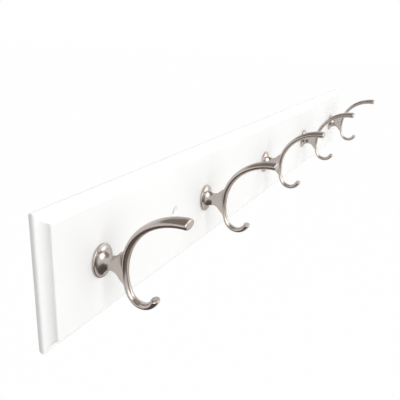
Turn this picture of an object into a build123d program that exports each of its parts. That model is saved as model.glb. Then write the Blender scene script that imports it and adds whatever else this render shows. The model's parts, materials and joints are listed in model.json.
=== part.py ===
"""Wall hook rack: a moulded white board that carries a row of cast double hooks.

The frame has X along the board, +Y into the wall and +Z up. The origin is the
centre of the board's back, which lies on the wall. All lengths are millimetres.
"""
import os
from math import cos, radians, sin

from build123d import *

# Board: fibreboard with a rounded edge and a coved step up to its face
board_width = 689.0
board_height = 90.0
board_thickness = 12.0
edge_thickness = 8.5
edge_round = 4.2
back_round = 3.0
moulding_width = 6.6
crest_width = 0.3
face_corner_round = 1.0

# Holes for the two screws that fix the board to a wall
wall_screw_spacing = 400.0
wall_screw_height = 2.0
wall_hole_diameter = 5.0
wall_sink_diameter = 9.5
wall_sink_angle = 90.0

# Row of hooks, placed by the centre of each rosette and spread between the board's ends
hook_count = 5
hook_end_margin = 49.7
hook_height = -1.5

# Rosette: the oval foot of a hook
rosette_height = 23.6
rosette_width = 20.4
rim_thickness = 1.8
rim_round = 0.7
rim_land = 0.2

# Neck: it flares to the rosette, is slimmest at the waist and spreads to the stem
flare_length = 7.2
flare_steps = 5
waist_height = 11.2
waist_width = 5.2
web_spread = 8.4
web_end_angle = 60.0
web_steps = 3
web_blend = 1.8

# Prongs: both leave the stem upright and follow arcs tangent to one another
stem_reach = 18.5
stem_drop = 2.1
back_radius = 39.35
arm_back_angle = 53.0
arm_radius = 45.0
arm_angle = 40.5
crook_back_angle = 23.0
crook_radius = 10.44
crook_angle = 140.0

# Oval sections of the prongs, and how far along its prong each middle one stands
stem_width = 6.3
stem_depth = 4.3
arm_place = 0.5
arm_width = 10.2
arm_depth = 5.2
arm_tip_width = 10.8
arm_tip_depth = 7.0
arm_tip_round = 1.3
crook_place = 0.65
crook_width = 6.3
crook_depth = 4.2
crook_tip_width = 8.4
crook_tip_depth = 5.4
crook_tip_round = 1.1

# Screw and washer that hold each hook, put in from the back of the board
screw_diameter = 4.0
thread_engagement = 5.7
thread_clearance = 0.03
thread_end_gap = 0.4
screw_head_diameter = 8.0
screw_head_height = 2.5
screw_head_round = 1.0
drive_length = 4.2
drive_width = 1.0
drive_depth = 1.4
washer_diameter = 9.0
washer_thickness = 0.8
washer_clearance = 0.15
screw_hole_clearance = 0.25
counterbore_depth = 4.6
counterbore_clearance = 0.5

# Peg on the rosette's back that keeps a hook from turning
peg_diameter = 2.6
peg_length = 3.0
peg_drop = 7.5
peg_clearance = 0.1
peg_end_gap = 0.4

# Spacing and planes that the pieces share: the board's two faces and the hooks' seats
hook_spacing = (board_width - 2 * hook_end_margin) / (hook_count - 1)
wall_holes = Plane((0, -board_thickness, wall_screw_height), x_dir=(1, 0, 0), z_dir=(0, -1, 0))
hook_front = Plane((0, -board_thickness, hook_height), x_dir=(1, 0, 0), z_dir=(0, -1, 0))
hook_back = Plane((0, 0, hook_height), x_dir=(1, 0, 0), z_dir=(0, 1, 0))
hook_seat = hook_back.offset(-board_thickness)
washer_seat = hook_back.offset(-counterbore_depth)
head_seat = washer_seat.offset(washer_thickness)

with BuildPart() as backboard:
    with BuildSketch(Plane.XZ):
        Rectangle(board_width, board_height)
    extrude(amount=edge_thickness)
    fillet(backboard.faces().sort_by(Axis.Y)[0].edges(), edge_round)
    fillet(backboard.faces().sort_by(Axis.Y)[-1].edges(), back_round)

    # Raised face, with a cove between its foot and the crest of the edge
    with BuildSketch(Plane.XZ.offset(edge_thickness)):
        RectangleRounded(
            board_width - 2 * moulding_width, board_height - 2 * moulding_width, face_corner_round
        )
    extrude(amount=board_thickness - edge_thickness)
    crest = backboard.faces().filter_by(Axis.Y).sort_by(Axis.Y)[1]
    fillet(crest.inner_wires()[0].edges(), moulding_width - edge_round - crest_width)

    # Countersunk holes for the wall screws
    with Locations(wall_holes):
        with GridLocations(wall_screw_spacing, 0, 2, 1):
            CounterSinkHole(
                wall_hole_diameter / 2, wall_sink_diameter / 2, counter_sink_angle=wall_sink_angle
            )

    # Counterbored holes for the hooks' screws, and blind holes for their pegs
    with Locations(hook_back):
        with GridLocations(hook_spacing, 0, hook_count, 1):
            CounterBoreHole(
                screw_diameter / 2 + screw_hole_clearance,
                washer_diameter / 2 + counterbore_clearance,
                counterbore_depth,
            )
    with Locations(hook_front):
        with Locations((0, -peg_drop)):
            with GridLocations(hook_spacing, 0, hook_count, 1):
                Hole(peg_diameter / 2 + peg_clearance, depth=peg_length + peg_end_gap)

with BuildPart() as hook:
    # Upper prong: an arm that widens and thickens to a blunt tip
    stem = (-board_thickness - stem_reach, hook_height - stem_drop)
    with BuildLine(Plane.YZ) as arm_line:
        rise = JernArc(stem, (0, 1), back_radius, arm_back_angle)
        JernArc(rise @ 1, rise % 1, arm_radius, arm_angle)
    arm = arm_line.wire()
    for place, width, depth in (
        (0, stem_width, stem_depth),
        (arm_place, arm_width, arm_depth),
        (1, arm_tip_width, arm_tip_depth),
    ):
        with BuildSketch(Plane(arm @ place, x_dir=(1, 0, 0), z_dir=arm % place)):
            Ellipse(width / 2, depth / 2)
    sweep(path=arm, multisection=True)
    arm_tip = hook.faces().filter_by(GeomType.PLANE).sort_by(Axis.Y)[0]
    fillet(arm_tip.edges(), arm_tip_round)

    # Lower prong: it falls from the stem and turns up in a crook
    with BuildLine(Plane.YZ) as crook_line:
        fall = JernArc(stem, (0, -1), back_radius, -crook_back_angle)
        JernArc(fall @ 1, fall % 1, crook_radius, -crook_angle)
    crook = crook_line.wire()
    for place, width, depth in (
        (0, stem_width, stem_depth),
        (crook_place, crook_width, crook_depth),
        (1, crook_tip_width, crook_tip_depth),
    ):
        with BuildSketch(Plane(crook @ place, x_dir=(1, 0, 0), z_dir=crook % place)):
            Ellipse(width / 2, depth / 2)
    sweep(path=crook, multisection=True)
    crook_tip = hook.faces().filter_by(GeomType.PLANE).sort_by(Axis.Z)[0]
    fillet(crook_tip.edges(), crook_tip_round)

    # Neck: a trumpet flare from the rim to the waist, then a web that spreads to the stem
    waist_reach = rim_thickness + flare_length
    flare_rise = (rosette_height - waist_height) / 2 - rim_round - rim_land
    flare_growth = (rosette_width - waist_width) / 2 - rim_round - rim_land
    for step in range(flare_steps, -1, -1):
        turn = radians(90 * step / flare_steps)
        spread = 1 - cos(turn)
        with BuildSketch(hook_front.offset(waist_reach - flare_length * sin(turn))):
            Ellipse(waist_width / 2 + flare_growth * spread, waist_height / 2 + flare_rise * spread)
    web_run = stem_reach - stem_depth / 2 - waist_reach
    for step in range(1, web_steps + 1):
        turn = radians(web_end_angle * step / web_steps)
        web_rise = waist_height / 2 + web_spread * (1 - cos(turn))
        with BuildSketch(hook_front.offset(waist_reach + web_run * sin(turn))):
            Ellipse(waist_width / 2, web_rise)
    with BuildSketch(hook_front.offset(stem_reach)):
        Ellipse(waist_width / 2, web_rise)
    loft()
    fillet(hook.edges(Select.NEW), web_blend)

    # Oval rim that lies on the board
    with BuildSketch(hook_front):
        Ellipse(rosette_width / 2, rosette_height / 2)
    extrude(amount=rim_thickness)
    rim_edges = hook.edges().filter_by(GeomType.ELLIPSE).sort_by(Axis.Y)
    fillet(rim_edges[-2], rim_round)

    # Tapped hole for the screw, and the peg beside it
    with Locations(hook_seat):
        Hole(screw_diameter / 2 + thread_clearance, depth=thread_engagement + thread_end_gap)
    with BuildSketch(hook_seat):
        with Locations((0, peg_drop)):
            Circle(peg_diameter / 2)
    extrude(amount=peg_length)

with BuildPart() as hook_screw:
    with BuildSketch(head_seat):
        Circle(screw_head_diameter / 2)
    extrude(amount=screw_head_height)
    fillet(hook_screw.edges().sort_by(Axis.Y)[-1], screw_head_round)
    with BuildSketch(head_seat.offset(screw_head_height)):
        Rectangle(drive_length, drive_width)
        Rectangle(drive_width, drive_length)
    extrude(amount=-drive_depth, mode=Mode.SUBTRACT)
    with BuildSketch(head_seat):
        Circle(screw_diameter / 2)
    extrude(amount=-(washer_thickness + board_thickness - counterbore_depth + thread_engagement))

with BuildPart() as washer:
    with BuildSketch(washer_seat):
        Circle(washer_diameter / 2)
        Circle(screw_diameter / 2 + washer_clearance, mode=Mode.SUBTRACT)
    extrude(amount=washer_thickness)

os.makedirs("parts", exist_ok=True)
backboard.part.label = "backboard"
export_step(backboard.part, "parts/backboard.step")

# Every hook of the row has its own casting, screw and washer
for number in range(1, hook_count + 1):
    hook_place = (number - (hook_count + 1) / 2) * hook_spacing
    for name, piece in (("hook", hook), ("hook_screw", hook_screw), ("washer", washer)):
        with BuildPart() as placed:
            with Locations((hook_place, 0, 0)):
                add(piece.part)
        placed.part.label = f"{name}_{number}"
        export_step(placed.part, f"parts/{name}_{number}.step")
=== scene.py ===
"""Looks of a wall hook rack: a white moulded board with a row of satin nickel double hooks.

Everything is in metres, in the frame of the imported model: X along the board, +Y into
the wall and +Z up.
"""
import json
from math import atan2, cos, pi, radians, sin, sqrt

import bmesh
import bpy
from mathutils import Euler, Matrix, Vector


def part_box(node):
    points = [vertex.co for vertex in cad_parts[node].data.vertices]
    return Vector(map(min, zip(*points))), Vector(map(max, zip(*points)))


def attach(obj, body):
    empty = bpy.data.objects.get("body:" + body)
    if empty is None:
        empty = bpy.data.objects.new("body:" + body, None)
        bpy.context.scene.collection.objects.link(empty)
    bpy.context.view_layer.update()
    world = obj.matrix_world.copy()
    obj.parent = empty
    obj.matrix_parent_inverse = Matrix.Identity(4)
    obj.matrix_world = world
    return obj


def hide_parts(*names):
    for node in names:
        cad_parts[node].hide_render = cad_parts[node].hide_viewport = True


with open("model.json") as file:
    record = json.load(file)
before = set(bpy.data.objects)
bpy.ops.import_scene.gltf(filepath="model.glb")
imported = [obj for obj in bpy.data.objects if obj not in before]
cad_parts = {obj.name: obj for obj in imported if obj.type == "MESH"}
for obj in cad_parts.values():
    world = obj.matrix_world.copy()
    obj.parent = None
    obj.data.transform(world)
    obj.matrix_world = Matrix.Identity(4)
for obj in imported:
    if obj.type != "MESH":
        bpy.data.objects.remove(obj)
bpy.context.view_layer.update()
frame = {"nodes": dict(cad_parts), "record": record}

# Backboard: a plank of fibreboard, routed to a slim rounded lip and a cove up to its
# face. It is sprayed white, sunk from the front for two wall screws, and bored from
# the back for the screw and from the front for the peg of every hook.
mm = 0.001
board_low, board_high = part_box("backboard")
board_thickness = board_high.y - board_low.y
edge_thickness = 6.3 * mm
edge_round = 1.4 * mm
back_round = 4.5 * mm
moulding_width = 6.6 * mm
crest_width = 0.3 * mm
face_corner_round = 1.0 * mm
arris_round = 0.7 * mm
outer_corner_round = 0.8 * mm
flat_border = 0.6 * mm
round_steps = 4
edge_steps = 10
drill_sides = 64


def quarter_turn(steps):
    """Sine and cosine at even steps of a quarter turn."""
    turns = [radians(90 * step / steps) for step in range(steps + 1)]
    return [(sin(turn), cos(turn)) for turn in turns]


def moulding_profile():
    """Inset, height above the back and corner radius of each turn round the board."""
    back = [(back_round * (1 - s), back_round * (1 - c)) for s, c in quarter_turn(edge_steps)]
    edge = [
        (edge_round * (1 - c), edge_thickness - edge_round * (1 - s))
        for s, c in quarter_turn(edge_steps)
    ]
    cove_width = moulding_width - edge_round - crest_width
    cove_height = board_thickness - edge_thickness - arris_round
    cove = [
        (moulding_width - cove_width * (1 - s), edge_thickness + cove_height * (1 - c))
        for s, c in quarter_turn(edge_steps)
    ]
    arris = [
        (moulding_width + arris_round * (1 - c), board_thickness - arris_round * (1 - s))
        for s, c in quarter_turn(round_steps)
    ]
    back_border = (back_round + flat_border, 0)
    face_border = (moulding_width + arris_round + flat_border, board_thickness)
    for inset, height in [back_border, *back, *edge]:
        yield inset, height, outer_corner_round
    for inset, height in [*cove, *arris, face_border]:
        yield inset, height, face_corner_round


def board_ring(mesh, inset, height, corner):
    """One turn of the profile: a rectangle with rounded corners, set in from the edge."""
    ring = []
    for side_x, side_z, quarter in ((1, 1, 0), (-1, 1, 1), (-1, -1, 2), (1, -1, 3)):
        centre_x = side_x * (board_high.x - inset - corner)
        centre_z = side_z * (board_high.z - inset - corner)
        for step in range(edge_steps + 1):
            turn = radians(90 * (quarter + step / edge_steps))
            x = centre_x + corner * cos(turn)
            z = centre_z + corner * sin(turn)
            ring.append(mesh.verts.new((x, board_high.y - height, z)))
    return ring


def skin(mesh, rings):
    """Covers neighbouring rings of equal length with quads."""
    for ring, following in zip(rings, rings[1:]):
        for index in range(len(ring)):
            mesh.faces.new((ring[index - 1], ring[index], following[index], following[index - 1]))


def colour(code):
    """Linear colour of an sRGB hex code."""
    shares = [int(code[start:start + 2], 16) / 255 for start in (1, 3, 5)]
    return [s / 12.92 if s <= 0.04045 else ((s + 0.055) / 1.055) ** 2.4 for s in shares] + [1.0]


def fill(tree, node, inputs):
    """Fills a node's inputs with values, or with links from other nodes' outputs."""
    for name, value in inputs.items():
        if isinstance(value, bpy.types.NodeSocket):
            tree.links.new(value, node.inputs[name])
        else:
            node.inputs[name].default_value = value


def add_node(tree, kind, inputs=None, **settings):
    """Adds a node with its settings, and fills its inputs."""
    node = tree.nodes.new(kind)
    for name, value in settings.items():
        setattr(node, name, value)
    fill(tree, node, inputs or {})
    return node


def new_finish(name):
    """A material, its node tree and its shader."""
    material = bpy.data.materials.new(name)
    material.use_nodes = True
    return material, material.node_tree, material.node_tree.nodes["Principled BSDF"]


# White lacquer: sprayed in thin coats on sanded fibreboard. It is a semi-gloss with
# fine orange peel, and its white drifts a little from one coat's overlap to the next.
coat_overlap = 70 * mm
peel_spacing = 1.4 * mm
peel_depth = 0.03 * mm
lacquer_ior = 1.5
lacquer_glossiest, lacquer_dullest = 0.4, 0.48
lacquer, tree, shader = new_finish("sprayed_white_lacquer")
place = add_node(tree, "ShaderNodeTexCoord").outputs["Object"]
drift = add_node(
    tree, "ShaderNodeTexNoise", {"Vector": place, "Scale": 1 / coat_overlap, "Detail": 2.0}
)

# A colour mix takes its share at socket 0 and its colours at 6 and 7, and gives output 2
white = add_node(
    tree,
    "ShaderNodeMix",
    {0: drift.outputs["Fac"], 6: colour("#F9F9F8"), 7: colour("#FCFCFB")},
    data_type="RGBA",
)
gloss = add_node(
    tree,
    "ShaderNodeMapRange",
    {
        "Value": drift.outputs["Fac"],
        "To Min": lacquer_glossiest,
        "To Max": lacquer_dullest,
    },
)
peel = add_node(
    tree, "ShaderNodeTexNoise", {"Vector": place, "Scale": 1 / peel_spacing, "Detail": 1.0}
)
ripple = add_node(
    tree,
    "ShaderNodeBump",
    {"Height": peel.outputs["Fac"], "Strength": 0.35, "Distance": peel_depth},
)
fill(
    tree,
    shader,
    {
        "Base Color": white.outputs[2],
        "Roughness": gloss.outputs["Result"],
        "Normal": ripple.outputs["Normal"],
        "IOR": lacquer_ior,
    },
)

# Raw fibreboard: pressed brown wood fibre, bare where the drill went in after spraying.
# Its cut is matt, with short pale fibres in a darker felt.
fibre_spacing = 0.6 * mm
fibre_depth = 0.15 * mm
fibreboard, tree, shader = new_finish("raw_fibreboard")
place = add_node(tree, "ShaderNodeTexCoord").outputs["Object"]
fibres = add_node(
    tree,
    "ShaderNodeTexNoise",
    {"Vector": place, "Scale": 1 / fibre_spacing, "Detail": 4.0, "Distortion": 1.5},
)
brown = add_node(
    tree,
    "ShaderNodeMix",
    {0: fibres.outputs["Fac"], 6: colour("#8A6B49"), 7: colour("#C9AA82")},
    data_type="RGBA",
)
felt = add_node(
    tree,
    "ShaderNodeBump",
    {"Height": fibres.outputs["Fac"], "Strength": 0.6, "Distance": fibre_depth},
)
fill(
    tree,
    shader,
    {"Base Color": brown.outputs[2], "Normal": felt.outputs["Normal"], "Roughness": 0.9},
)


def new_piece(name, mesh, finish):
    """An object of a closed mesh, with its faces turned outwards and its finish on."""
    bmesh.ops.recalc_face_normals(mesh, faces=mesh.faces)
    data = bpy.data.meshes.new(name)
    mesh.to_mesh(data)
    mesh.free()
    data.materials.append(finish)
    piece = bpy.data.objects.new(name, data)
    bpy.context.scene.collection.objects.link(piece)
    return piece


def new_tree(name, inputs):
    """A Geometry Nodes tree with named inputs, its input node and its output node."""
    tree = bpy.data.node_groups.new(name, "GeometryNodeTree")
    tree.interface.new_socket("Geometry", in_out="INPUT", socket_type="NodeSocketGeometry")
    for label, kind in inputs.items():
        tree.interface.new_socket(label, in_out="INPUT", socket_type=f"NodeSocket{kind}")
    tree.interface.new_socket("Geometry", in_out="OUTPUT", socket_type="NodeSocketGeometry")
    return tree, add_node(tree, "NodeGroupInput"), add_node(tree, "NodeGroupOutput")


def use_tree(piece, tree, values):
    """Puts a tree on a piece, with its inputs set by their sockets' identifiers."""
    modifier = piece.modifiers.new(tree.name, "NODES")
    modifier.node_group = tree
    for socket in tree.interface.items_tree:
        if socket.in_out == "INPUT" and socket.name in values:
            modifier[socket.identifier] = values[socket.name]


def make_plain(piece, sharp_angle):
    """Turns what a piece's modifiers give into a plain mesh, smooth up to an angle."""
    view = bpy.context.evaluated_depsgraph_get()
    data = bpy.data.meshes.new_from_object(piece.evaluated_get(view))
    piece.modifiers.clear()
    piece.data = data
    data.shade_smooth()
    data.set_sharp_from_angle(angle=radians(sharp_angle))


# Drilling: a row of straight or tapered holes cut into the board
drilling, given, result = new_tree(
    "drilling",
    {
        "Count": "Int",
        "First": "Vector",
        "Step": "Vector",
        "Turn": "Vector",
        "Mouth Radius": "Float",
        "End Radius": "Float",
        "Depth": "Float",
        "Finish": "Material",
    },
)
row = add_node(
    drilling,
    "GeometryNodeMeshLine",
    {
        "Count": given.outputs["Count"],
        "Start Location": given.outputs["First"],
        "Offset": given.outputs["Step"],
    },
)
bit = add_node(
    drilling,
    "GeometryNodeMeshCone",
    {
        "Vertices": drill_sides,
        "Radius Bottom": given.outputs["Mouth Radius"],
        "Radius Top": given.outputs["End Radius"],
        "Depth": given.outputs["Depth"],
    },
)
bits = add_node(
    drilling,
    "GeometryNodeInstanceOnPoints",
    {
        "Points": row.outputs["Mesh"],
        "Instance": bit.outputs["Mesh"],
        "Rotation": given.outputs["Turn"],
    },
)
solid_bits = add_node(drilling, "GeometryNodeRealizeInstances", {0: bits.outputs["Instances"]})
finished_bits = add_node(
    drilling,
    "GeometryNodeSetMaterial",
    {"Geometry": solid_bits.outputs[0], "Material": given.outputs["Finish"]},
)
cut = add_node(
    drilling,
    "GeometryNodeMeshBoolean",
    {"Mesh 1": given.outputs["Geometry"], "Mesh 2": finished_bits.outputs["Geometry"]},
    operation="DIFFERENCE",
    solver="EXACT",
)
fill(drilling, result, {"Geometry": cut.outputs["Mesh"]})

mesh = bmesh.new()
rings = [board_ring(mesh, *turn) for turn in moulding_profile()]
skin(mesh, rings)
mesh.faces.new(rings[0])
mesh.faces.new(rings[-1])
board = new_piece("lacquered_board", mesh, lacquer)

hook_count = sum(name.startswith("hook_screw") for name in frame["nodes"])
screw_boxes = [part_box(f"hook_screw_{number}") for number in range(1, hook_count + 1)]
hook_places = [(low + high) / 2 for low, high in screw_boxes]
hook_step = hook_places[1].x - hook_places[0].x

overshoot = 0.5 * mm
wall_hole_count = 2
mounts = {mount["name"]: mount for mount in frame["record"]["mounts"]}
wall_mount = mounts["wall_screws"]
wall_hole_spacing = wall_mount["dims"]["spacing_x_mm"] * mm
wall_hole_radius = wall_mount["dims"]["hole_r_mm"] * mm
wall_hole_height = wall_mount["pos_m"][2]
wall_sink_radius = 4.75 * mm
screw_hole_radius = 2.25 * mm
counterbore_radius = 5.0 * mm
counterbore_depth = 4.6 * mm
peg_hole_radius = 1.4 * mm
peg_hole_depth = 3.4 * mm
peg_drop = 7.5 * mm
from_front = (-pi / 2, 0, 0)
from_back = (pi / 2, 0, 0)
front_start = board_low.y - overshoot
back_start = board_high.y + overshoot
through_depth = board_thickness + 2 * overshoot
sink_depth = wall_sink_radius - wall_hole_radius

# Count, first place, step and side of each row of holes
first_x, first_z = hook_places[0].x, hook_places[0].z
first_wall_hole = (-wall_hole_spacing / 2, front_start, wall_hole_height)
wall_row = (wall_hole_count, first_wall_hole, wall_hole_spacing, from_front)
bore_row = (hook_count, (first_x, back_start, first_z), hook_step, from_back)
peg_row = (hook_count, (first_x, front_start, first_z - peg_drop), hook_step, from_front)

# Row, radius at the mouth and at the end, depth and finish of each drilling
for row_of_holes, mouth, end, depth, finish in (
    (wall_row, wall_sink_radius + overshoot, wall_hole_radius, sink_depth + overshoot, lacquer),
    (wall_row, wall_hole_radius, wall_hole_radius, through_depth, lacquer),
    (bore_row, counterbore_radius, counterbore_radius, counterbore_depth + overshoot, fibreboard),
    (bore_row, screw_hole_radius, screw_hole_radius, through_depth, fibreboard),
    (peg_row, peg_hole_radius, peg_hole_radius, peg_hole_depth + overshoot, fibreboard),
):
    count, first, step, turn = row_of_holes
    use_tree(
        board,
        drilling,
        {
            "Count": count,
            "First": first,
            "Step": (step, 0, 0),
            "Turn": turn,
            "Mouth Radius": mouth,
            "End Radius": end,
            "Depth": depth,
            "Finish": finish,
        },
    )
make_plain(board, sharp_angle=30)
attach(board, "root")
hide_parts("backboard")

# Hooks: a C-shaped bar on a webbed neck and an oval rosette, cast in one piece from
# zinc alloy, tumbled smooth and plated in satin nickel. The rosette's back is tapped
# for a screw and has a peg that keeps the hook upright.

# Sizes of a hook in millimetres, which cast_hook turns to metres
rosette_height = 23.6
rosette_width = 20.4
rim_thickness = 1.8
rim_round = 0.7
rim_land = 0.2
foot_round = 0.25
flare_length = 7.2
flare_steps = 8
waist_height = 11.2
waist_width = 5.2
web_spread = 8.4
web_end_angle = 58
web_steps = 5
web_squareness = 4.0
oval = 2.0  # power of a plain oval's curve, past which it grows square
stem_reach = 18.5
stem_drop = 2.1
stem_width = 6.3
stem_depth = 4.3
back_radius = 39.35
arm_back_angle = 53.0
arm_radius = 45.0
arm_angle = 40.5
arm_place = 0.5
arm_width = 10.2
arm_depth = 5.2
arm_tip_width = 10.8
arm_tip_depth = 7.0
arm_tip_round = 1.3
crook_back_angle = 23.0
crook_radius = 10.44
crook_angle = 140.0
crook_place = 0.65
crook_width = 6.3
crook_depth = 4.2
crook_tip_width = 8.4
crook_tip_depth = 5.4
crook_tip_round = 1.1
bore_radius = 2.03
bore_depth = 6.1
bore_support = 0.3
peg_radius = 1.3
peg_length = 3.0
peg_root = 0.5
peg_chamfer = 0.25
bar_columns = 24
bar_pitch = 1.3
tip_steps = 5
join_columns = 4
join_reach = 11.8

# Arcs of each prong, and how far along it the middle one of its three sections stands,
# with their widths and depths from the stem to the tip
arm_turns = ((back_radius, -arm_back_angle), (arm_radius, -arm_angle))
arm_sections = (
    arm_place,
    (stem_width, arm_width, arm_tip_width),
    (stem_depth, arm_depth, arm_tip_depth),
)
crook_turns = ((back_radius, crook_back_angle), (crook_radius, crook_angle))
crook_sections = (
    crook_place,
    (stem_width, crook_width, crook_tip_width),
    (stem_depth, crook_depth, crook_tip_depth),
)


def walk(turns, heading, length):
    """Place and heading after a length of tangent arcs, each a radius and a signed angle."""
    reach, height = stem_reach, -stem_drop
    for radius, angle in turns:
        turn = min(length / radius, radians(abs(angle)))
        length -= turn * radius
        side = 1 if angle > 0 else -1
        after = heading + side * turn
        reach += side * radius * (sin(after) - sin(heading))
        height += side * radius * (cos(heading) - cos(after))
        heading = after
    return reach, height, heading


def through(share, middle, sizes):
    """Size at a share of the way on the smooth curve through the start, middle and end sizes."""
    start, mid, end = sizes
    return (
        start * (share - middle) * (share - 1) / middle
        + mid * share * (share - 1) / (middle * (middle - 1))
        + end * share * (share - middle) / (1 - middle)
    )


def prong(turns, heading, sections, tip_round):
    """Place, heading and half sizes of each section of a prong, from the stem to the tip."""
    length = sum(radius * radians(abs(angle)) for radius, angle in turns)
    body = length - tip_round
    steps = round(body / bar_pitch)
    stops = [body * step / steps for step in range(steps)]
    stops += [body + tip_round * s for s, c in quarter_turn(tip_steps)]
    middle, widths, depths = sections
    for stop in stops:
        past = max(stop - body, 0) / tip_round
        inset = tip_round * (1 - sqrt(max(1 - past * past, 0)))
        share = stop / length
        half_width = through(share, middle, widths) / 2 - inset
        half_depth = through(share, middle, depths) / 2 - inset
        yield *walk(turns, heading, stop), half_width, half_depth


def neck_sections():
    """Reach, half sizes and squareness of the neck, from the web to the rosette's bore."""
    waist_reach = rim_thickness + flare_length
    web_run = stem_reach - waist_reach - stem_depth / 2
    for step in range(web_steps, -1, -1):
        turn = radians(web_end_angle * step / web_steps)
        half_height = waist_height / 2 + web_spread * (1 - cos(turn))
        squareness = oval + web_squareness * step / web_steps
        yield waist_reach + web_run * sin(turn), waist_width / 2, half_height, squareness
    half_width, half_height = rosette_width / 2, rosette_height / 2
    for s, c in quarter_turn(flare_steps)[1:]:
        growth = (half_width - waist_width / 2 - rim_round - rim_land) * (1 - c)
        rise = (half_height - waist_height / 2 - rim_round - rim_land) * (1 - c)
        yield (
            waist_reach - flare_length * s,
            waist_width / 2 + growth,
            waist_height / 2 + rise,
            oval,
        )
    for s, c in quarter_turn(round_steps):
        inset = rim_round * (1 - s)
        reach = rim_thickness - rim_round * (1 - c)
        yield reach, half_width - inset, half_height - inset, oval
    for s, c in quarter_turn(round_steps):
        inset = foot_round * (1 - c)
        yield foot_round * (1 - s), half_width - inset, half_height - inset, oval
    for reach, radius in (
        (0, bore_radius + bore_support),
        (0, bore_radius),
        (bore_support, bore_radius),
        (bore_depth, bore_radius),
    ):
        yield reach, radius, radius, oval


def power(share, exponent):
    """A signed share raised to an exponent."""
    return abs(share) ** exponent * (1 if share > 0 else -1)


def cast_hook(name, place, finish):
    """One hook, with its rosette's centre at a place on the board's face."""
    mesh = bmesh.new()

    def vertex(x, reach, height):
        return mesh.verts.new((place.x + x * mm, board_low.y - reach * mm, place.z + height * mm))

    crook = list(prong(crook_turns, -pi / 2, crook_sections, crook_tip_round))
    arm = list(prong(arm_turns, pi / 2, arm_sections, arm_tip_round))
    bar = [(r, h, heading + pi, w, d) for r, h, heading, w, d in reversed(crook[1:])] + arm
    rings = []
    for reach, height, heading, half_width, half_depth in bar:
        ring = []
        for column in range(bar_columns):
            turn = 2 * pi * column / bar_columns
            outward = half_depth * sin(turn)
            ring.append(
                vertex(
                    half_width * cos(turn),
                    reach - outward * sin(heading),
                    height + outward * cos(heading),
                )
            )
        rings.append(ring)

    # The bar is left open towards the board where the web grows out of it
    back = bar_columns // 4
    first, last = back - join_columns, back + join_columns
    joined = [index for index, stop in enumerate(bar) if abs(stop[1]) <= join_reach]
    for row in range(len(rings) - 1):
        for column in range(bar_columns):
            if row in joined[:-1] and first <= column < last:
                continue
            following = (column + 1) % bar_columns
            mesh.faces.new(
                (
                    rings[row][column],
                    rings[row][following],
                    rings[row + 1][following],
                    rings[row + 1][column],
                )
            )
    mesh.faces.new(rings[0])
    mesh.faces.new(rings[-1])
    mouth = [rings[joined[0]][column] for column in range(first, last)]
    mouth += [rings[row][last] for row in joined[:-1]]
    mouth += [rings[joined[-1]][column] for column in range(last, first, -1)]
    mouth += [rings[row][first] for row in reversed(joined[1:])]

    half_mouth = max(abs(v.co.x - place.x) for v in mouth)
    half_join = join_reach * mm
    turns = [
        atan2((v.co.z - place.z) / half_join, (v.co.x - place.x) / half_mouth) for v in mouth
    ]
    neck = [mouth]
    for reach, half_width, half_height, squareness in neck_sections():
        ring = [
            vertex(
                half_width * power(cos(turn), 2 / squareness),
                reach,
                half_height * power(sin(turn), 2 / squareness),
            )
            for turn in turns
        ]
        neck.append(ring)
    skin(mesh, neck)
    mesh.faces.new(neck[-1])

    peg = []
    for reach, radius in (
        (peg_root, peg_radius),
        (peg_chamfer - peg_length, peg_radius),
        (-peg_length, peg_radius - peg_chamfer),
    ):
        turns = [2 * pi * column / bar_columns for column in range(bar_columns)]
        peg.append(
            [vertex(radius * cos(t), reach, radius * sin(t) - peg_drop / mm) for t in turns]
        )
    skin(mesh, peg)
    mesh.faces.new(peg[0])
    mesh.faces.new(peg[-1])

    piece = new_piece(name, mesh, finish)
    smoothing = piece.modifiers.new("smoothing", "SUBSURF")
    smoothing.levels = smoothing.render_levels = 1
    piece.data.shade_smooth()
    return piece


# Satin nickel: a warm grey plating on a tumbled casting. It spreads reflections a
# little, and fine scuffs and a slow waviness of the casting break them up.
wave_spacing = 9 * mm
scuff_spacing = 0.7 * mm
scuff_depth = 0.02 * mm
nickel_glossiest, nickel_dullest = 0.18, 0.28
nickel, tree, shader = new_finish("satin_nickel_plating")
place = add_node(tree, "ShaderNodeTexCoord").outputs["Object"]
wave = add_node(
    tree, "ShaderNodeTexNoise", {"Vector": place, "Scale": 1 / wave_spacing, "Detail": 1.0}
)
warm_grey = add_node(
    tree,
    "ShaderNodeMix",
    {0: wave.outputs["Fac"], 6: colour("#B6ADA7"), 7: colour("#C3BAB4")},
    data_type="RGBA",
)
scuffs = add_node(
    tree, "ShaderNodeTexNoise", {"Vector": place, "Scale": 1 / scuff_spacing, "Detail": 3.0}
)
satin = add_node(
    tree,
    "ShaderNodeMapRange",
    {
        "Value": scuffs.outputs["Fac"],
        "To Min": nickel_glossiest,
        "To Max": nickel_dullest,
    },
)
surface = add_node(
    tree,
    "ShaderNodeBump",
    {"Height": scuffs.outputs["Fac"], "Strength": 0.15, "Distance": scuff_depth},
)
fill(
    tree,
    shader,
    {
        "Base Color": warm_grey.outputs[2],
        "Roughness": satin.outputs["Result"],
        "Normal": surface.outputs["Normal"],
        "Metallic": 1.0,
    },
)

for number, place in enumerate(hook_places, start=1):
    hook = cast_hook(f"cast_hook_{number}", place, nickel)
    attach(hook, "root")
    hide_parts(f"hook_{number}")

# Washers: plain stamped rings of zinc-plated steel that seat in the counterbores.
# Stamping leaves their edges slightly rounded.
washer_low, washer_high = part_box("washer_1")
washer_radius = (washer_high.x - washer_low.x) / 2
washer_hole_radius = 2.15 * mm
washer_edge = 0.15 * mm
turned_sides = 48


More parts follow.
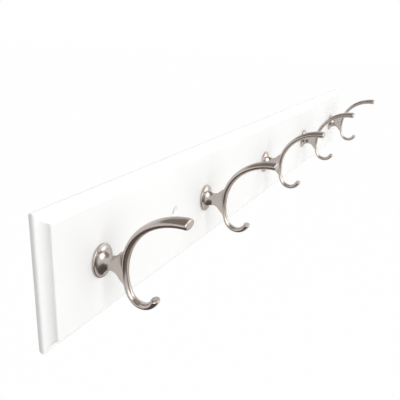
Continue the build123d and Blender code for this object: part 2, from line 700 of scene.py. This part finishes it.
def turned(mesh, axis, profile, sides):
    """Rings about a line along Y, one for each distance along it and radius of a profile."""
    rings = []
    for along, radius in profile:
        turns = [2 * pi * side / sides for side in range(sides)]
        rings.append(
            [
                mesh.verts.new((axis.x + radius * cos(t), along, axis.z + radius * sin(t)))
                for t in turns
            ]
        )
    return rings


# Zinc plating: bright bluish passivated zinc on steel, evenly dull, with a faint
# crystal mottle that shifts its grey.
crystal_spacing = 1.2 * mm
crystal_depth = 0.02 * mm
zinc_glossiest, zinc_dullest = 0.28, 0.45
zinc, tree, shader = new_finish("bright_zinc_plating")
place = add_node(tree, "ShaderNodeTexCoord").outputs["Object"]
mottle = add_node(
    tree, "ShaderNodeTexNoise", {"Vector": place, "Scale": 1 / crystal_spacing, "Detail": 3.0}
)
blue_grey = add_node(
    tree,
    "ShaderNodeMix",
    {0: mottle.outputs["Fac"], 6: colour("#B4B8BC"), 7: colour("#D3D6D8")},
    data_type="RGBA",
)
dullness = add_node(
    tree,
    "ShaderNodeMapRange",
    {"Value": mottle.outputs["Fac"], "To Min": zinc_glossiest, "To Max": zinc_dullest},
)
crystals = add_node(
    tree,
    "ShaderNodeBump",
    {"Height": mottle.outputs["Fac"], "Strength": 0.2, "Distance": crystal_depth},
)
fill(
    tree,
    shader,
    {
        "Base Color": blue_grey.outputs[2],
        "Roughness": dullness.outputs["Result"],
        "Normal": crystals.outputs["Normal"],
        "Metallic": 1.0,
    },
)

# Row: copies of one piece at even steps
copying, given, result = new_tree(
    "copying", {"Count": "Int", "Step": "Vector", "Finish": "Material"}
)
row = add_node(
    copying,
    "GeometryNodeMeshLine",
    {"Count": given.outputs["Count"], "Offset": given.outputs["Step"]},
)
copies = add_node(
    copying,
    "GeometryNodeInstanceOnPoints",
    {"Points": row.outputs["Mesh"], "Instance": given.outputs["Geometry"]},
)
solid_copies = add_node(copying, "GeometryNodeRealizeInstances", {0: copies.outputs["Instances"]})
finished_copies = add_node(
    copying,
    "GeometryNodeSetMaterial",
    {"Geometry": solid_copies.outputs[0], "Material": given.outputs["Finish"]},
)
fill(copying, result, {"Geometry": finished_copies.outputs["Geometry"]})
row_values = {"Count": hook_count, "Step": (hook_step, 0, 0), "Finish": zinc}

washer_profile = [
    (washer_low.y, washer_hole_radius + washer_edge),
    (washer_low.y, washer_radius - washer_edge),
    (washer_low.y + washer_edge, washer_radius),
    (washer_high.y - washer_edge, washer_radius),
    (washer_high.y, washer_radius - washer_edge),
    (washer_high.y, washer_hole_radius + washer_edge),
    (washer_high.y - washer_edge, washer_hole_radius),
    (washer_low.y + washer_edge, washer_hole_radius),
]
mesh = bmesh.new()
rings = turned(mesh, hook_places[0], washer_profile, turned_sides)
skin(mesh, rings + rings[:1])
washers = new_piece("row_of_washers", mesh, zinc)
use_tree(washers, copying, row_values)
make_plain(washers, sharp_angle=40)
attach(washers, "root")
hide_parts(*[f"washer_{number}" for number in range(1, hook_count + 1)])

# Screws: zinc-plated machine screws with a pan head and a cross recess, driven from
# the back of the board through its washer into the tapped rosette.
screw_low, screw_high = screw_boxes[0]
head_radius = (screw_high.x - screw_low.x) / 2
head_height = 2.5 * mm
head_round = 1.0 * mm
head_edge = 0.2 * mm
shank_radius = 2.0 * mm
thread_pitch = 0.7 * mm
thread_depth = 0.3 * mm
rings_per_pitch = 6
drive_length = 4.2 * mm
drive_width = 1.0 * mm
drive_depth = 1.4 * mm
drive_taper = 0.7
nearly_nought = 1e-9


def cross_radius(turn):
    """Distance from a cross recess's centre to its wall in one direction."""
    across = max(abs(cos(turn)), nearly_nought)
    along = max(abs(sin(turn)), nearly_nought)
    level = min(drive_length / across, drive_width / along)
    upright = min(drive_width / across, drive_length / along)
    return max(level, upright) / 2


corner = atan2(drive_width, drive_length)
eighth = [0, corner / 2, corner, (corner + pi / 4) / 2, pi / 4]
quarter = eighth + [pi / 2 - turn for turn in eighth[-2:0:-1]]
screw_turns = [turn + pi / 2 * part for part in range(4) for turn in quarter]


def screw_ring(mesh, along, radius_at):
    """One ring of a screw, with a radius for each direction."""
    return [
        mesh.verts.new(
            (
                hook_places[0].x + radius_at(turn) * cos(turn),
                along,
                hook_places[0].z + radius_at(turn) * sin(turn),
            )
        )
        for turn in screw_turns
    ]


def thread_radius(along):
    """Radius in each direction at a place along the shank, for one turn of thread a pitch."""

    def radius_at(turn):
        share = (along / thread_pitch + turn / (2 * pi)) % 1
        return shank_radius - thread_depth * abs(2 * share - 1)

    return radius_at


mesh = bmesh.new()
head_seat = screw_high.y - head_height
recess_floor = screw_high.y - drive_depth
rings = [
    screw_ring(mesh, recess_floor, lambda turn: cross_radius(turn) * drive_taper),
    screw_ring(mesh, screw_high.y, cross_radius),
]
for s, c in quarter_turn(round_steps):
    radius = head_radius - head_round * (1 - s)
    along = screw_high.y - head_round * (1 - c)
    rings.append(screw_ring(mesh, along, lambda turn, radius=radius: radius))
rings.append(screw_ring(mesh, head_seat + head_edge, lambda turn: head_radius))
rings.append(screw_ring(mesh, head_seat, lambda turn: head_radius - head_edge))
shank_length = head_seat - screw_low.y
shank_steps = round(shank_length / thread_pitch * rings_per_pitch)
for step in range(shank_steps + 1):
    along = head_seat - shank_length * step / shank_steps
    rings.append(screw_ring(mesh, along, thread_radius(along)))
skin(mesh, rings)
mesh.faces.new(rings[0])
mesh.faces.new(rings[-1])
screws = new_piece("row_of_screws", mesh, zinc)
use_tree(screws, copying, row_values)
make_plain(screws, sharp_angle=35)
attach(screws, "root")
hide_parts(*[f"hook_screw_{number}" for number in range(1, hook_count + 1)])

# Studio: a pale floor far below, a white surround, and soft lamps in front and above.
# Grey flags stand where polished metal would otherwise mirror only white.
floor_height = -0.8
floor_size = 30.0
surround_share = 0.99
surround_light = 0.45
matt = 0.9


def stage_plane(name, size, centre, turn, finish):
    """A flat rectangle of the studio that is no part of the rack."""
    data = bpy.data.meshes.new(name)
    half_x, half_y = size[0] / 2, size[1] / 2
    corners = [
        (-half_x, -half_y, 0),
        (half_x, -half_y, 0),
        (half_x, half_y, 0),
        (-half_x, half_y, 0),
    ]
    data.from_pydata(corners, [], [(0, 1, 2, 3)])
    data.materials.append(finish)
    plane = bpy.data.objects.new(name, data)
    plane.location = centre
    plane.rotation_euler = turn
    bpy.context.scene.collection.objects.link(plane)
    return plane


def seen_rays(tree):
    """One for rays from the camera, from metal and from glass, and nought for the rest."""
    rays = add_node(tree, "ShaderNodeLightPath").outputs
    mirrored = add_node(
        tree,
        "ShaderNodeMath",
        {0: rays["Is Glossy Ray"], 1: rays["Is Transmission Ray"]},
        operation="MAXIMUM",
    )
    seen = add_node(
        tree,
        "ShaderNodeMath",
        {0: rays["Is Camera Ray"], 1: mirrored.outputs[0]},
        operation="MAXIMUM",
    )
    return seen.outputs[0]


paper, tree, shader = new_finish("white_floor_paper")
fill(tree, shader, {"Base Color": colour("#D4D4D4"), "Roughness": matt})
glow = add_node(tree, "ShaderNodeEmission", {"Color": colour("#FFFFFF"), "Strength": 1.0})
share = add_node(
    tree, "ShaderNodeMath", {0: seen_rays(tree), 1: surround_share}, operation="MULTIPLY"
)
both = add_node(
    tree,
    "ShaderNodeMixShader",
    {0: share.outputs[0], 1: shader.outputs["BSDF"], 2: glow.outputs["Emission"]},
)
fill(tree, tree.nodes["Material Output"], {"Surface": both.outputs["Shader"]})
stage_plane("floor", (floor_size, floor_size), (0, 0, floor_height), (0, 0, 0), paper)

# Flags, seen by reflections only: colour, length and width, centre and turn
for name, code, size, centre, turn in (
    ("lower_flag", "#665F5A", (0.8, 0.8), (-0.5, -0.18, -0.3), (0, 0, 0)),
    ("right_flag", "#E4DDD7", (0.8, 0.52), (0.3, -0.04, -0.3), (0, 0, 0)),
    ("front_flag", "#8E8781", (0.5, 1.0), (0.15, -1.1, -0.35), (pi / 2, 0, 0)),
    ("upper_flag", "#CCC5BF", (3.9, 2.5), (-1.05, 0.45, 1.2), (0, 0, 0)),
    ("back_flag", "#EAE3DD", (2.6, 1.1), (1.9, 0.9, 0.75), (pi / 2, 0, 0)),
):
    cloth, tree, shader = new_finish(f"{name}_cloth")
    fill(tree, shader, {"Base Color": colour(code), "Roughness": 1.0})
    flag = stage_plane(name, size, centre, turn, cloth)
    flag.visible_camera = False
    flag.visible_diffuse = False
    flag.visible_shadow = False
    flag.visible_transmission = False

world = bpy.data.worlds.new("studio_surround")
world.use_nodes = True
bpy.context.scene.world = world
tree = world.node_tree
level = add_node(
    tree,
    "ShaderNodeMapRange",
    {"Value": seen_rays(tree), "To Min": surround_light, "To Max": 1.0},
)
fill(
    tree,
    tree.nodes["Background"],
    {"Color": colour("#FFFFFF"), "Strength": level.outputs["Result"]},
)

# Lamps: side, power, centre, the point each faces, and whether metal mirrors it
for name, size, power_watts, centre, aim, mirrored in (
    ("left_softbox", 1.6, 20.0, (-1.1, -1.75, 0.8), (-0.1, 0, 0), True),
    ("right_softbox", 1.6, 12.2, (1.3, -1.7, 0.4), (0.3, 0, 0), True),
    ("front_softbox", 1.6, 3.6, (-0.2, -2.0, 0.2), (-0.2, 0, 0), False),
    ("top_softbox", 1.4, 11.0, (-0.1, 0.2, 1.6), (0, 0, 0), False),
):
    lamp = bpy.data.lights.new(name, "AREA")
    lamp.size = size
    lamp.energy = power_watts
    light = bpy.data.objects.new(name, lamp)
    light.location = centre
    light.rotation_euler = (Vector(aim) - Vector(centre)).to_track_quat("-Z", "Y").to_euler()
    bpy.context.scene.collection.objects.link(light)
    light.visible_glossy = mirrored

# Camera: close to the board's left end, looking along its face and down
camera_place = Vector((-534.35, -202.48, 146.73)) * mm
camera_aim = Vector((-157.3, -12.0, -1.0)) * mm
camera_roll = 2.06
camera_lens = 46.36
lens = bpy.data.cameras.new("camera")
lens.lens = camera_lens
camera = bpy.data.objects.new("camera", lens)
camera.location = camera_place
aimed = (camera_aim - camera_place).to_track_quat("-Z", "Y")
camera.rotation_mode = "QUATERNION"
camera.rotation_quaternion = aimed @ Euler((0, 0, radians(camera_roll))).to_quaternion()
bpy.context.scene.collection.objects.link(camera)
bpy.context.scene.camera = camera
bpy.context.scene.view_settings.view_transform = "Standard"
